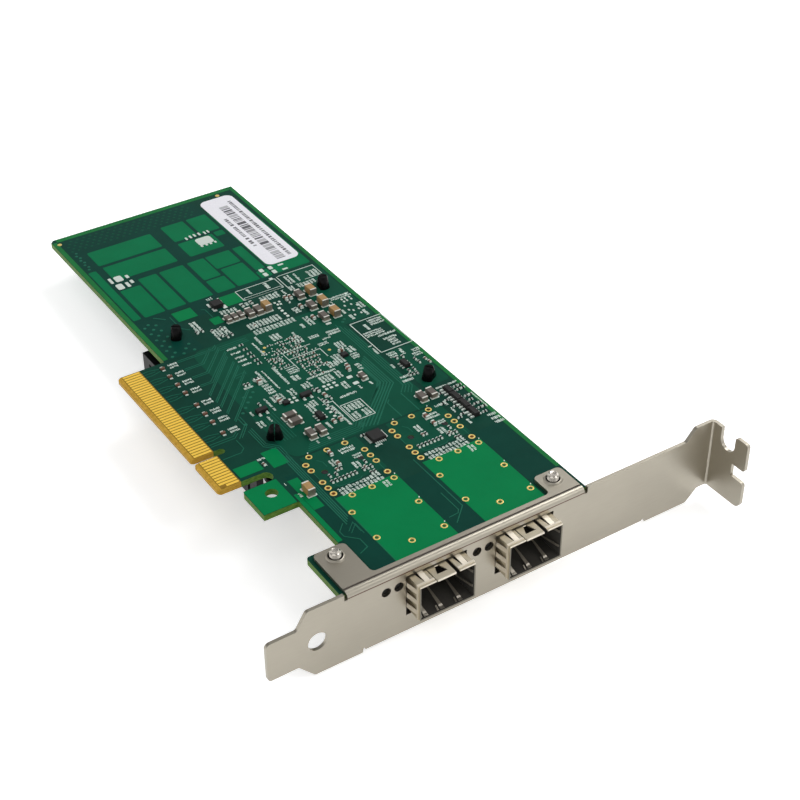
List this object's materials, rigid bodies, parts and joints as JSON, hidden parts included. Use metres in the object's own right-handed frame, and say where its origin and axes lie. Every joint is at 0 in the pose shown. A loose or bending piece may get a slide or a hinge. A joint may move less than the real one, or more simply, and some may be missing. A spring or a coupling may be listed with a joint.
{
  "type": "network interface card",
  "caption": "Low-profile expansion card with a gold edge connector, steel mounting bracket, paired optical module cages and a finned heatsink.",
  "frame": {"origin": "centre of the bottom of the whole card's bounding box, level with the bracket's lower edge", "axes": "+X along the bracket from its tongue to its screw tab, +Y along the board away from the bracket, +Z out of the solder side"},
  "size_m": [0.1194, 0.177, 0.0215],
  "materials": {
    "solder_mask": "green solder mask over fibreglass laminate, satin gloss",
    "gold": "gold plating, satin",
    "bracket_steel": "zinc-plated sheet steel, satin",
    "screw_steel": "zinc-plated steel",
    "cage_metal": "tin-plated copper alloy sheet",
    "spring_metal": "bright spring strip",
    "black_plastic": "moulded black",
    "led_lens": "diffuse lens, unlit",
    "black_anodised": "black anodised",
    "black_nylon": "moulded nylon",
    "package_green": "laminate substrate",
    "package_metal": "nickel-plated lid",
    "thermal_rubber": "soft gap pad",
    "ferrite": "moulded ferrite",
    "capacitor_black": "moulded case",
    "chip_black": "moulded epoxy",
    "crystal_can": "metal can",
    "ceramic_grey": "ceramic",
    "ceramic_tan": "ceramic",
    "tin": "tin plating",
    "ceramic_brown": "ceramic",
    "label_paper": "white film"
  },
  "bodies": {
    "root": {"circuit_board": "solder_mask", "edge_contacts_solder_side": "gold", "edge_contacts_component_side": "gold", "bracket": "bracket_steel", "bracket_screws": "screw_steel", "sfp_cage_lower": "cage_metal", "sfp_cage_upper": "cage_metal", "emi_spring_collars": "spring_metal", "host_connectors": "black_plastic", "host_contacts": "gold", "status_led_bodies": "black_plastic", "status_led_lenses": "led_lens", "heatsink": "black_anodised", "heatsink_push_pins": "black_nylon", "controller_substrate": "package_green", "controller_lid": "package_metal", "thermal_pad": "thermal_rubber", "power_inductors": "ferrite", "bulk_capacitors": "capacitor_black", "power_transistors": "chip_black", "memory_chips": "chip_black", "clock_crystal": "crystal_can", "supervisor_chip": "chip_black", "ceramic_capacitors": "ceramic_grey", "tall_ceramic_capacitors": "ceramic_tan", "capacitor_end_caps": "tin", "coupling_capacitors": "ceramic_brown", "solder_side_chips": "chip_black", "chip_leads": "tin", "identity_label": "label_paper"}
  },
  "joints": []
}
